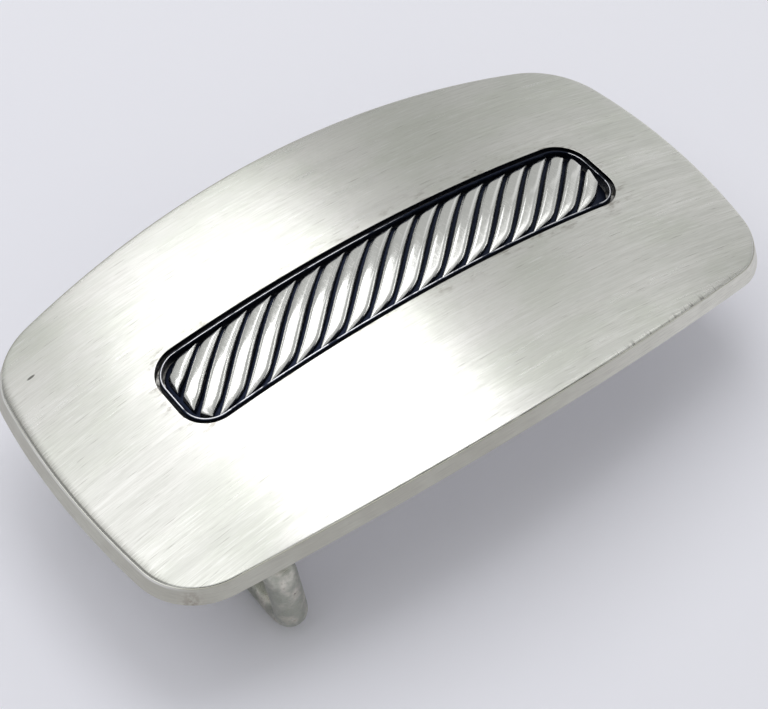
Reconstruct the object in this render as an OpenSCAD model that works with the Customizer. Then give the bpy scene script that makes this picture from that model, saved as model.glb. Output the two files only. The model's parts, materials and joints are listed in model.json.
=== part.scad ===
// Domed plaque buckle for a dress belt, with a twisted-cable inlay in a pierced slot.
// The face looks up (+Z), the long axis is X, and the belt side hangs below the plate.
// The origin is the middle of the footprint, on the plane that the bail and the prong stand on.

/* [Plate] */
// Length of the face along the long axis
plate_l = 73.4; // [71:0.2:76]
// Width of the face at its middle
plate_w = 40.2; // [39.4:0.2:43]
// Thickness of the plate through both sheets
plate_t = 1.6; // [1.55:0.05:2]
// Thickness of the brushed face sheet
face_t = 0.7; // [0.5:0.05:0.8]
// Radius of the dome that the face follows
dome_r = 121.2; // [114:0.2:130]
// Height of the crown of the face above the resting plane
crown_z = 19.8; // [19:0.1:21]

/* [Outline] */
// Radius of the two long edges, seen from above
long_r = 162; // [150:1:180]
// Radius of the two ends, seen from above
end_r = 72; // [68:0.5:80]
// Radius of the four corners
corner_r = 7.2; // [6:0.1:8]
// Outward slope of the side wall, as spread over drop
draft = 0.34; // [0.26:0.02:0.4]
// Width of the rim band seen beside the face sheet
rim_land = 0.3; // [0.25:0.05:0.5]
// Hairline seam between the rim band and the face sheet
seam_gap = 0.05; // [0.03:0.01:0.08]

/* [Slot] */
// Length of the slot
slot_l = 51.2; // [49:0.2:53]
// Width of the slot
slot_w = 9.6; // [9.5:0.1:10.4]
// Corner radius of the slot
slot_r = 3.3; // [2.8:0.1:3.8]
// How far the slot's middle lies from the plate's middle, along the plate
slot_x = 0.7; // [0:0.1:0.9]
// How far the slot's middle lies from the plate's middle, across the plate
slot_y = 0.35; // [0:0.05:0.5]
// Depth of the pocket below the face
pocket_d = 1.2; // [1.1:0.05:1.25]
// Gap between the slot and its bezel
bezel_gap = 0.4; // [0.25:0.05:0.45]
// Thickness of the bezel strip
bezel_t = 0.22; // [0.18:0.01:0.25]
// How far the bezel's edge lies below the face
bezel_drop = 0.12; // [0.05:0.01:0.3]

/* [Cable] */
// Length of the cable inlay
cable_l = 49.4; // [47.6:0.2:49.6]
// Width of the cable inlay
cable_w = 8.1; // [7.6:0.1:8.1]
// Corner radius of the cable inlay
cable_r = 2.6; // [2.4:0.1:3.2]
// Spacing of the strands along the slot
strand_pitch = 2.85; // [2.6:0.05:3.2]
// Width of the blackened groove between two strands, along the slot
groove_w = 0.4; // [0.3:0.05:0.6]
// Lean of the strands, as run along the slot over run across it
strand_lean = 1.08; // [0.9:0.02:1.2]
// Height of the strands' crest above the face
strand_crest = 0.25; // [0:0.05:0.4]
// How far the strands fall from the crest to the sides of the cable
strand_fall = 0.7; // [0.5:0.05:0.8]
// Thickness of the blackened bed under the strands
bed_t = 0.25; // [0.2:0.05:0.3]

/* [Bail] */
// Diameter of the bail's wire
wire_d = 3.2; // [2.8:0.1:3.4]
// Distance of the bail from the middle of the plate
bail_x = 25.3; // [23:0.1:26]
// Clear width between the bail's legs, for the strap
strap_w = 30.4; // [28:0.2:30.8]
// Lean of the bail's legs towards the middle of the plate
bail_lean = 9.5; // [6:0.5:12]
// Centre-line radius of the bends in the wire
bend_r = 2.4; // [2:0.1:3]
// Outside diameter of the hinge tube
tube_d = 4.6; // [4.4:0.1:5]
// Running clearance of the wire in the tube, all round
hinge_gap = 0.05; // [0.03:0.01:0.08]
// Length of the wire's turned-in ends
pin_l = 7; // [5:0.5:10]

/* [Prong] */
// Diameter of the prong
prong_d = 3.2; // [2.8:0.1:3.6]
// Distance of the prong's foot from the middle of the plate
prong_x = 24; // [21:0.5:26]
// Lean of the prong towards the bail
prong_lean = 18; // [10:1:24]
// Diameter of the prong's pad
pad_d = 8.4; // [7.6:0.2:9.4]
// Thickness of the prong's pad
pad_t = 1.2; // [1:0.1:1.4]

/* [Hidden] */
$fn = 96;
// facets of the dome and of the edge curves
DOME_FN = 360;
EDGE_FN = 360;
// colours
SATIN = [0.80, 0.80, 0.78];
WALL = [0.74, 0.74, 0.72];
BRIGHT = [0.86, 0.86, 0.85];
BLACKENED = [0.08, 0.09, 0.12];
WIRE = [0.70, 0.70, 0.67];

// dome: its centre, and the radii of the layers
dome_z = crown_z - dome_r;
seat_r = dome_r - face_t;
under_r = dome_r - plate_t;
pocket_r = dome_r - pocket_d;
bed_r = pocket_r + bed_t;
// the block of space that holds the plate
SPACE_H = 13;
space_z = crown_z + 1 - SPACE_H;

// bail
wire_r = wire_d / 2;
leg_y = strap_w / 2 + wire_r;
bend_y = leg_y - bend_r;
// clearance between the bail's upper bends and the back
BEND_GAP = 0.4;
axis_z = dome_at(under_r, bail_x, leg_y) - wire_r - BEND_GAP;
// gap between the tube's ends and the bends of the wire
TUBE_END_GAP = 0.5;
tube_half = bend_y - TUBE_END_GAP;
// from the hinge to the middle of the crossbar, which lies on the resting plane
drop = (axis_z - wire_r) / cos(bail_lean);
SADDLE_W = 3.8;
SADDLE_FOOT = 1.1;
// solder film between the saddle and the back
SOLDER = 0.02;

// prong: the pad lies square on the dome, and the prong stands in it
pad_tilt = asin(prong_x / under_r);
prong_r = prong_d / 2;
// the pad is flat, so its rim meets the hollow back first
pad_face = sqrt(under_r * under_r - pad_d * pad_d / 4) - pad_t;
foot_x = pad_face * sin(pad_tilt);
foot_z = dome_z + pad_face * cos(pad_tilt);
// the prong's rounded tip stands on the resting plane
prong_h = (foot_z - prong_r) / cos(prong_lean);
// how deep the prong is set into its pad
PRONG_SET = 0.8;
// the prong's foot is a cone that flares into the pad and ends this far above it
FOOT_RISE = 0.4;
FOOT_FLARE = 0.6;

// height of a dome of radius r over the point x, y
function dome_at(r, x, y) = dome_z + sqrt(r * r - x * x - y * y);

// point of the dome: u along it, v across it, w above the face
function on_face(u, v, w) =
  let (a = u / dome_r * 180 / PI, q = sqrt(pow(dome_r + w, 2) - v * v))
  [q * sin(a), v, dome_z + q * cos(a)];

// centre of a corner arc that touches a long edge (radius rl) and an end (radius re)
function corner_centre(rl, yl, re, xe, rc) =
  let (d = norm([xe, yl]), p = rl - rc, q = re - rc,
       a = (p * p - q * q + d * d) / (2 * d), h = sqrt(p * p - a * a))
  [-xe * a / d + yl * h / d, -yl + yl * a / d + xe * h / d];
function unit(p) = p / norm(p);

// A wall round the plate is cut by cones with upright axes, one for each edge and corner.
// They follow the outline of the face at the dome, and spread by slope as they drop.
function long_ref(slope) = 1 / (1 / long_r + slope * (1 - plate_w / (2 * long_r)) / dome_r);
function end_ref(slope) = 1 / (1 / end_r + slope * (1 - plate_l / (2 * end_r)) / dome_r);
long_z = dome_at(dome_r, 0, plate_w / 2);
end_z = dome_at(dome_r, plate_l / 2, 0);
plan_c = corner_centre(long_r, long_r - plate_w / 2, end_r, end_r - plate_l / 2, corner_r);
corner_z = dome_at(dome_r, plan_c[0] + corner_r / 2, plan_c[1] + corner_r / 2);
// how far a corner stands out from the arc that would just touch both edges
CORNER_EASE = 0.04;
// slope of the seam between the face sheet and the rim band
SEAM_SLOPE = 0.05;
// reach of the corner cuts
CUT = 12;

// strands: STRANDS each side of the middle one, which is moved along by STRAND_SHIFT
STRANDS = 9;
STRAND_SHIFT = -0.33;
STRAND_CURL = 0.006;
// points of the arch across a strand, and rings along it
ARCH = 8;
RINGS = 9;
// how far from its upper and its lower end a strand begins to narrow
ROUND_HIGH = 0.7;
ROUND_LOW = 1.4;
// share of the strand that is left off at each end, so that it ends in a small flat
TIP = 0.004;
// strands stay this far inside the cable's outline, and end where they are this narrow
EDGE = 0.03;
NARROWEST = 0.35;
// share of a strand's height that is left at its ends
END_RISE = 0.45;
// how rounded the ridge along the middle of the cable is, as a share of half its width
RIDGE = 0.2;
// the arch over a strand is a superellipse of this power
ARCH_POWER = 4;
// solder film between the strands and the bed
LIFT = 0.015;

module dome(r) {
  translate([0, 0, dome_z])
    rotate([90, 0, 0])
      sphere(r = r, $fn = DOME_FN);
}

// the wedge outside a corner, between the two directions in which the corner arc ends
module corner_wedge(c, y, x) {
  d1 = unit(c + [0, y]);
  d2 = unit(c + [x, 0]);
  polygon([c, c + CUT * d1, c + 1.5 * CUT * unit(d1 + d2), c + CUT * d2]);
}

module four_corners() {
  for (mx = [0, 1])
    for (my = [0, 1])
      mirror([mx, 0, 0])
        mirror([0, my, 0])
          children();
}

module column() {
  translate([0, 0, space_z])
    linear_extrude(height = SPACE_H)
      children();
}

// cone through radius r at height z
module wall_cone(c, r, z, slope) {
  translate([c[0], c[1], space_z])
    cylinder(h = SPACE_H, r1 = r + slope * (z - space_z), r2 = r + slope * (z - space_z - SPACE_H),
             $fn = EDGE_FN);
}

// everything inside a wall that meets the face inset from its outline
module walled(slope, inset) {
  rl = long_ref(slope);
  re = end_ref(slope);
  y = rl - plate_w / 2;
  x = re - plate_l / 2;
  c = corner_centre(rl + slope * (long_z - corner_z), y, re + slope * (end_z - corner_z), x, corner_r);
  difference() {
    intersection() {
      wall_cone([0, y], rl - inset, long_z, slope);
      wall_cone([0, -y], rl - inset, long_z, slope);
      wall_cone([x, 0], re - inset, end_z, slope);
      wall_cone([-x, 0], re - inset, end_z, slope);
    }
    four_corners()
      difference() {
        column()
          corner_wedge(c, y, x);
        wall_cone(c, corner_r - inset + CORNER_EASE, corner_z, slope);
      }
  }
}

// rectangle with round corners
module round_rect(l, w, r) {
  square([l - 2 * r, w], center = true);
  square([l, w - 2 * r], center = true);
  for (x = [-1, 1])
    for (y = [-1, 1])
      translate([x * (l / 2 - r), y * (w / 2 - r)])
        circle(r = r);
}

module slot_column(inset) {
  column()
    translate([slot_x, slot_y])
      round_rect(slot_l - 2 * inset, slot_w - 2 * inset, slot_r - inset);
}

module face_sheet() {
  color(SATIN)
    difference() {
      intersection() {
        walled(SEAM_SLOPE, rim_land + seam_gap);
        dome(dome_r);
      }
      dome(seat_r);
      slot_column(0);
    }
}

module rim_band() {
  color(WALL)
    difference() {
      intersection() {
        walled(draft, 0);
        dome(dome_r);
      }
      dome(under_r);
      walled(SEAM_SLOPE, rim_land);
    }
}

module back_plate() {
  color(SATIN)
    difference() {
      intersection() {
        walled(SEAM_SLOPE, rim_land);
        dome(seat_r);
      }
      dome(under_r);
      difference() {
        slot_column(0);
        dome(pocket_r);
      }
    }
}

module slot_bezel() {
  color(BRIGHT)
    difference() {
      intersection() {
        slot_column(bezel_gap);
        dome(dome_r - bezel_drop);
      }
      dome(pocket_r);
      slot_column(bezel_gap + bezel_t);
    }
}

module cable_bed() {
  color(BLACKENED)
    difference() {
      intersection() {
        column()
          translate([slot_x, slot_y])
            round_rect(cable_l, cable_w, cable_r);
        dome(bed_r);
      }
      dome(pocket_r);
    }
}

// end of the cable's outline at v across it
function end_u(v) =
  let (s = abs(v) - (cable_w / 2 - cable_r))
  cable_l / 2 - cable_r + (s > 0 ? sqrt(max(cable_r * cable_r - s * s, 0)) : cable_r);
// sides of a strand at v across the cable, cut off at the cable's outline
function strand_u(u0, v) = u0 + strand_lean * v + STRAND_CURL * v * v * v;
function left_u(u0, v) = max(strand_u(u0, v) - (strand_pitch - groove_w) / 2, EDGE - end_u(v));
function right_u(u0, v) = min(strand_u(u0, v) + (strand_pitch - groove_w) / 2, end_u(v) - EDGE);
// a quarter round from 0 at the end of a strand to 1
function ease(s) = sqrt(1 - pow(1 - min(s, 1), 2));
// fall from the ridge at s, the share of half the cable's width
function side(s) = norm([s, RIDGE]) - RIDGE;
// arch over a strand at v; the upper end narrows towards its right, the lower towards its left
function ring(u0, v, low, high) =
  let (up = ease((high - v) / ROUND_HIGH), down = ease((v - low) / ROUND_LOW),
       left = left_u(u0, v), right = right_u(u0, v), half = (right - left) / 2,
       middle = (left + right) / 2 + half * (down - up),
       top = strand_crest - strand_fall * side(2 * v / cable_w) / side(1),
       rise = (top + dome_r - bed_r) * (END_RISE + (1 - END_RISE) * up * down))
  [for (j = [0 : ARCH])
    let (a = 180 * j / ARCH)
    on_face(slot_x + middle + half * up * down * cos(a), slot_y + v,
            bed_r - dome_r + LIFT + rise * sqrt(1 - pow(cos(a), ARCH_POWER)))];

// one strand: an arched bar that leans across the cable
module strand(u0) {
  reach = cable_w / 2 - EDGE;
  inside = [for (v = [-reach : 0.05 : reach])
    if (right_u(u0, v) - left_u(u0, v) > NARROWEST) v];
  low = inside[0];
  high = inside[len(inside) - 1];
  rings = [for (i = [0 : RINGS])
    let (t = TIP + (1 - 2 * TIP) * (1 - cos(180 * i / RINGS)) / 2)
    ring(u0, low + (high - low) * t, low, high)];
  n = ARCH + 1;
  points = [for (r = rings) each r];
  sides = [for (i = [0 : RINGS - 1]) for (j = [0 : ARCH])
    let (k = (j + 1) % n)
    each [[i * n + j, i * n + k, (i + 1) * n + j],
          [i * n + k, (i + 1) * n + k, (i + 1) * n + j]]];
  caps = [for (j = [1 : ARCH - 1])
    each [[0, j + 1, j], [RINGS * n, RINGS * n + j, RINGS * n + j + 1]]];
  polyhedron(points, concat(sides, caps));
}

module cable_strands() {
  color(BRIGHT)
    for (k = [-STRANDS : STRANDS])
      strand(strand_pitch * k + STRAND_SHIFT);
}

// puts a shape that stands on the pad in the prong's direction
module on_pad(height) {
  translate([foot_x, 0, foot_z])
    rotate([0, 180 + prong_lean, 0])
      translate([0, 0, height])
        children();
}

module prong_foot() {
  on_pad(-PRONG_SET)
    cylinder(h = PRONG_SET + FOOT_RISE, r1 = prong_r + FOOT_FLARE, r2 = prong_r);
}

module hook_stud() {
  color(WIRE)
    union() {
      prong_foot();
      on_pad(FOOT_RISE)
        cylinder(h = prong_h - FOOT_RISE, r = prong_r);
      on_pad(prong_h)
        sphere(r = prong_r);
    }
}

module hook_pad() {
  color(SATIN)
    difference() {
      translate([0, 0, dome_z])
        rotate([0, pad_tilt, 0])
          translate([0, 0, pad_face])
            cylinder(h = pad_t, r = pad_d / 2);
      prong_foot();
    }
}

module at_hinge() {
  translate([-bail_x, 0, axis_z])
    children();
}

// cylinder along Y from y0 to y1, turned on its axis by spin
module bar_y(y0, y1, r, spin = 0) {
  translate([0, y0, 0])
    rotate([-90, 0, 0])
      rotate([0, 0, spin])
        cylinder(h = y1 - y0, r = r);
}

module hinge_tube() {
  color(SATIN)
    at_hinge()
      difference() {
        bar_y(-tube_half, tube_half, tube_d / 2);
        bar_y(-tube_half - 1, tube_half + 1, wire_r + hinge_gap);
      }
}

module hinge_saddle() {
  color(SATIN)
    difference() {
      intersection() {
        translate([-bail_x - SADDLE_W / 2, -tube_half, axis_z + SADDLE_FOOT])
          cube([SADDLE_W, 2 * tube_half, SPACE_H]);
        translate([0, 0, dome_z])
          rotate([0, 90 - asin(bail_x / under_r), 0])
            translate([0, 0, -dome_r])
              cylinder(h = 2 * dome_r, r = under_r - SOLDER, $fn = DOME_FN);
      }
      at_hinge()
        bar_y(-tube_half - 1, tube_half + 1, tube_d / 2);
    }
}

// quarter bend of the wire, in the plane of the bail, round the point y, z
module bend(y, z, start) {
  translate([0, y, z])
    rotate([90, 0, 90])
      rotate([0, 0, start])
        rotate_extrude(angle = 90)
          translate([bend_r, 0])
            circle(r = wire_r);
}

// the bail hangs from its hinge: two turned-in ends, two legs and the crossbar
module bail() {
  low = bend_r - drop;
  color(WIRE)
    at_hinge()
      rotate([0, -bail_lean, 0])
        union() {
          translate([0, 0, -drop])
            bar_y(-bend_y, bend_y, wire_r, 90);
          for (side = [0, 1])
            mirror([0, side, 0]) {
              bend(bend_y, low, -90);
              bend(bend_y, -bend_r, 0);
              translate([0, leg_y, low])
                rotate([0, 0, 90])
                  cylinder(h = -bend_r - low, r = wire_r);
              bar_y(bend_y - pin_l, bend_y, wire_r, -90);
            }
        }
}

face_sheet();
rim_band();
back_plate();
slot_bezel();
cable_bed();
cable_strands();
hinge_saddle();
hinge_tube();
bail();
hook_pad();
hook_stud();
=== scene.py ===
"""Looks for the domed dress-belt buckle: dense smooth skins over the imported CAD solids, and their metals.

Lengths in the shape code are millimetres in the CAD frame, and become metres when a mesh is made.
"""

import json
import math

import bpy
import numpy as np
from mathutils import Matrix, Vector


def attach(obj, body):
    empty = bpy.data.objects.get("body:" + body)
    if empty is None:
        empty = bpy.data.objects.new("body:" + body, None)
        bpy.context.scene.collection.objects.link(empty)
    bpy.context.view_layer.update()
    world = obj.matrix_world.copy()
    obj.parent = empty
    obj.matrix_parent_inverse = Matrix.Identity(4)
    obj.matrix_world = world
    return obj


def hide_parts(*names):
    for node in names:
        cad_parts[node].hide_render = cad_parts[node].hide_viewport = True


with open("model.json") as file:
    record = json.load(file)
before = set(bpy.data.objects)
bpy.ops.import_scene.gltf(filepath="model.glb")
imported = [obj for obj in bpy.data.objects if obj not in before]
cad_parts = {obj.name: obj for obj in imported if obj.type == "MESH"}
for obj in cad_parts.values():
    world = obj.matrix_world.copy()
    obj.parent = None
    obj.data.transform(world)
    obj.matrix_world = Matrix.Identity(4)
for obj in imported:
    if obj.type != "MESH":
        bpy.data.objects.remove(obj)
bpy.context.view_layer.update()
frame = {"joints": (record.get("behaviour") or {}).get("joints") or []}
MM = 0.001
# units of a mesh's UV map to a millimetre
UV_PER_MM = 0.01

# ---------------------------------------------------------------- sizes, as in the CAD model
PLATE_L, PLATE_W, PLATE_T, FACE_T = 73.4, 40.2, 1.6, 0.7
DOME_R, CROWN_Z = 121.2, 19.8
DOME_Z = CROWN_Z - DOME_R
LONG_R, END_R, CORNER_R, DRAFT = 162.0, 72.0, 7.2, 0.34
SLOT_L, SLOT_W, SLOT_R, POCKET_D = 51.2, 9.6, 3.3, 1.2
SLOT_X, SLOT_Y = 0.7, 0.35
BEZEL_GAP, BEZEL_T, BEZEL_DROP = 0.4, 0.22, 0.12
CABLE_L, CABLE_W, CABLE_R, BED_T = 49.4, 8.1, 2.6, 0.25
STRANDS, PITCH, GROOVE, LEAN, CURL, SHIFT, RIDGE = 9, 2.85, 0.4, 1.08, 0.006, -0.33, 0.2
WIRE_R, BAIL_X, BAIL_LEAN, LEG_Y, BEND_R, PIN_L = 1.6, 25.3, 9.5, 16.8, 2.4, 7.0
TUBE_R, TUBE_BORE, SADDLE_W, SADDLE_FOOT = 2.3, 1.65, 3.8, 1.1
PRONG_R, PRONG_X, PRONG_LEAN, PAD_R, PAD_T, PRONG_SET = 1.6, 24.0, 18.0, 4.2, 1.2, 0.8
FOOT_RISE, FOOT_FLARE = 0.4, 0.6

UNDER_R = DOME_R - PLATE_T
POCKET_R = DOME_R - POCKET_D
BED_R = POCKET_R + BED_T
AXIS_Z = frame["joints"][0]["pos_m"][2] / MM
BEND_Y = LEG_Y - BEND_R
TUBE_HALF = BEND_Y - 0.5
DROP = (AXIS_Z - WIRE_R) / math.cos(math.radians(BAIL_LEAN))

# ---------------------------------------------------------------- sizes that are not the CAD model's
# the seam between face and rim is worn towards the arris, so it shows nearer to it than in the CAD
SEAM = 0.11
# the strands' crest above the face, and their fall to the cable's sides: a little lower than in the CAD
CREST, FALL = 0.19, 0.66
# lengths over which a strand is rounded at its far and at its near end
ROUND_HIGH, ROUND_LOW = 0.55, 1.3
# a small ding near the left end of the face, and a dark brown spot on the wall at the near left corner
DING, SPOT = (-32.7, 11.9), (-34.2, -16.6)
DING_SCALE = (1.9, 6.0, 0.0)
# a skin stops short of the piece behind it by one of these
THIN, GAP = 0.01, 0.02

# samples along a quarter of every outline: half a long side, a corner, half an end
LONG_N, CORNER_N, END_N = 90, 36, 44
# samples round a lathe-turned piece, and round the bail's wire and the prong
TURNED_N, WIRE_N, PRONG_N = 96, 48, 64
# size of the last ring of a flat fan, as a share of its first
CORE = 0.02
# rings and points across of a strand, and the samples that find where it starts and ends
STRAND_RINGS, STRAND_ARCH, STRAND_SEARCH = 90, 26, 800


# ---------------------------------------------------------------- outlines
def dome_at(r, x, y):
    """Height of a dome of radius r over a plan point."""
    return DOME_Z + np.sqrt(r * r - x * x - y * y)


def on_dome(xy, r):
    """Points of a dome of radius r over the plan points xy."""
    return np.c_[xy, dome_at(r, xy[:, 0], xy[:, 1])]


def smooth(v, low, high):
    """0 below low, 1 above high, and an S-curve between."""
    t = np.clip((v - low) / (high - low), 0, 1)
    return t * t * (3 - 2 * t)


def full_loop(q):
    """The whole outline from its quarter, which runs from +Y to +X."""
    return np.vstack([q, (q * [1, -1])[::-1][1:], (q * [-1, -1])[1:], (q * [-1, 1])[::-1][1:-1]])


def plate_loop(inset):
    """The plate's outline, seen from above, moved in by inset."""
    y, x = LONG_R - PLATE_W / 2, END_R - PLATE_L / 2
    d = math.hypot(x, y)
    p, q = LONG_R - CORNER_R, END_R - CORNER_R
    a = (p * p - q * q + d * d) / (2 * d)
    h = math.sqrt(p * p - a * a)
    cx, cy = -x * a / d + y * h / d, -y + y * a / d + x * h / d
    t1, t2 = math.atan2(cy + y, cx), math.atan2(cy, cx + x)
    arcs = (
        ((0, -y), LONG_R, math.pi / 2, t1, LONG_N, False),
        ((cx, cy), CORNER_R, t1, t2, CORNER_N, False),
        ((-x, 0), END_R, t2, 0.0, END_N, True),
    )
    pts = []
    for (ox, oy), r, a0, a1, n, last in arcs:
        t = np.linspace(a0, a1, n + 1)[: None if last else -1]
        pts.append(np.c_[ox + (r - inset) * np.cos(t), oy + (r - inset) * np.sin(t)])
    return full_loop(np.vstack(pts))


def round_rect_loop(length, width, r, inset):
    """A rectangle with round corners, moved in by inset."""
    cx, cy = length / 2 - r, width / 2 - r
    side = np.c_[np.linspace(0, cx, LONG_N + 1)[:-1], np.full(LONG_N, width / 2 - inset)]
    t = np.linspace(math.pi / 2, 0, CORNER_N + 1)[:-1]
    corner = np.c_[cx + (r - inset) * np.cos(t), cy + (r - inset) * np.sin(t)]
    end = np.c_[np.full(END_N + 1, length / 2 - inset), np.linspace(cy, 0, END_N + 1)]
    return full_loop(np.vstack([side, corner, end])) + [SLOT_X, SLOT_Y]


def slot_loop(inset):
    """The slot's outline, moved in by inset."""
    return round_rect_loop(SLOT_L, SLOT_W, SLOT_R, inset)


def fillet(points, steps):
    """A closed profile with its corners rounded in steps. Each point is (a, b, radius)."""
    out = []
    n = len(points)
    for i, (a, b, r) in enumerate(points):
        p = np.array([a, b])
        u = np.array(points[i - 1][:2]) - p
        w = np.array(points[(i + 1) % n][:2]) - p
        lu, lw = np.linalg.norm(u), np.linalg.norm(w)
        u, w = u / lu, w / lw
        half = math.acos(np.clip(u @ w, -1, 1)) / 2
        if r <= 0 or half > 1.5:
            out.append(p)
            continue
        cut = min(r / math.tan(half), 0.49 * lu, 0.49 * lw)
        r = cut * math.tan(half)
        middle = p + (u + w) / np.linalg.norm(u + w) * r / math.sin(half)
        s, e = p + u * cut - middle, p + w * cut - middle
        sweep = math.acos(np.clip(s @ e / (r * r), -1, 1))
        for k in range(steps + 1):
            f = k / steps
            q = (math.sin((1 - f) * sweep) * s + math.sin(f * sweep) * e) / math.sin(sweep)
            out.append(middle + q)
    return np.array(out)


def subdivide(profile, longest):
    """A closed profile with points added so that no side is longer than longest."""
    out = []
    for i, p in enumerate(profile):
        q = profile[(i + 1) % len(profile)]
        n = max(1, math.ceil(np.linalg.norm(q - p) / longest))
        out += [p + (q - p) * k / n for k in range(n)]
    return np.array(out)


# ---------------------------------------------------------------- meshes
def quads(rows, cols, wrap_rows, wrap_cols):
    """Faces of a grid of points, joined round along its rows or columns where asked."""
    i = np.arange(rows if wrap_rows else rows - 1)
    j = np.arange(cols if wrap_cols else cols - 1)
    I, J = (g.ravel() for g in np.meshgrid(i, j, indexing="ij"))
    I2, J2 = (I + 1) % rows, (J + 1) % cols
    return np.c_[I * cols + J, I2 * cols + J, I2 * cols + J2, I * cols + J2].tolist()


def volume(v, faces):
    """Six times the volume inside faces of three or four corners; negative if they face inwards."""
    total = 0.0
    for n in (3, 4):
        f = np.array([g for g in faces if len(g) == n], int).reshape(-1, n)
        for k in range(1, n - 1):
            total += np.einsum("ij,ij->", v[f[:, 0]], np.cross(v[f[:, k]], v[f[:, k + 1]]))
    return total


def make(name, verts, faces, uv=None, **fields):
    """A smooth mesh object in metres, with its faces outwards and its per-vertex fields."""
    verts = np.asarray(verts, float)
    if volume(verts, faces) < 0:
        faces = [f[::-1] for f in faces]
    mesh = bpy.data.meshes.new(name)
    mesh.from_pydata((verts * MM).tolist(), [], faces)
    mesh.polygons.foreach_set("use_smooth", [True] * len(mesh.polygons))
    loop_vert = np.zeros(len(mesh.loops), int)
    mesh.loops.foreach_get("vertex_index", loop_vert)
    uv = verts[:, :2] if uv is None else uv
    layer = mesh.uv_layers.new(name="UVMap")
    layer.data.foreach_set("uv", (np.asarray(uv, float)[loop_vert] * UV_PER_MM).ravel())
    for key, values in fields.items():
        attribute = mesh.attributes.new(key, "FLOAT", "POINT")
        attribute.data.foreach_set("value", np.asarray(values, np.float32))
    mesh.validate()
    obj = bpy.data.objects.new(name, mesh)
    bpy.context.scene.collection.objects.link(obj)
    return obj


def join(parts):
    """One list of points and faces from several closed shells, each (points, faces)."""
    verts, faces, base = [], [], 0
    for v, f in parts:
        if volume(v, f) < 0:
            f = [g[::-1] for g in f]
        verts.append(v)
        faces += [[i + base for i in g] for g in f]
        base += len(v)
    return np.vstack(verts), faces


def ring_shell(rings):
    """A closed shell through a closed list of closed rings."""
    rings = [np.asarray(r, float) for r in rings]
    return np.vstack(rings), quads(len(rings), len(rings[0]), True, True)


def capped_shell(rings, first, last):
    """A closed shell through a list of closed rings, closed by a point at each end."""
    rings = [np.asarray(r, float) for r in rings]
    n, m = len(rings), len(rings[0])
    verts = np.vstack(rings + [np.array([first, last], float)])
    faces = quads(n, m, False, True)
    for j in range(m):
        k = (j + 1) % m
        faces.append([n * m, j, k])
        faces.append([n * m + 1, (n - 1) * m + k, (n - 1) * m + j])
    return verts, faces


def between(a, b, n, r):
    """Rings on a dome between two plan outlines, without the outlines themselves."""
    return [on_dome(a + (b - a) * k / n, r) for k in range(1, n)]


def lathe(profile, n):
    """A shell round the Z axis from a closed profile of (radius, z)."""
    t = np.linspace(0, 2 * math.pi, n, endpoint=False)
    return ring_shell([np.c_[r * np.cos(t), r * np.sin(t), np.full(n, z)] for r, z in profile])


def solid_lathe(profile, n):
    """A shell round the Z axis from an open profile whose two ends are on the axis."""
    t = np.linspace(0, 2 * math.pi, n, endpoint=False)
    rings = [np.c_[r * np.cos(t), r * np.sin(t), np.full(n, z)] for r, z in profile[1:-1]]
    return capped_shell(rings, (0, 0, profile[0][1]), (0, 0, profile[-1][1]))


def placed(shell, matrix):
    """A shell moved by a 4 by 4 matrix."""
    v, f = shell
    m = np.array(matrix, float)
    return v @ m[:3, :3].T + m[:3, 3], f


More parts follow.
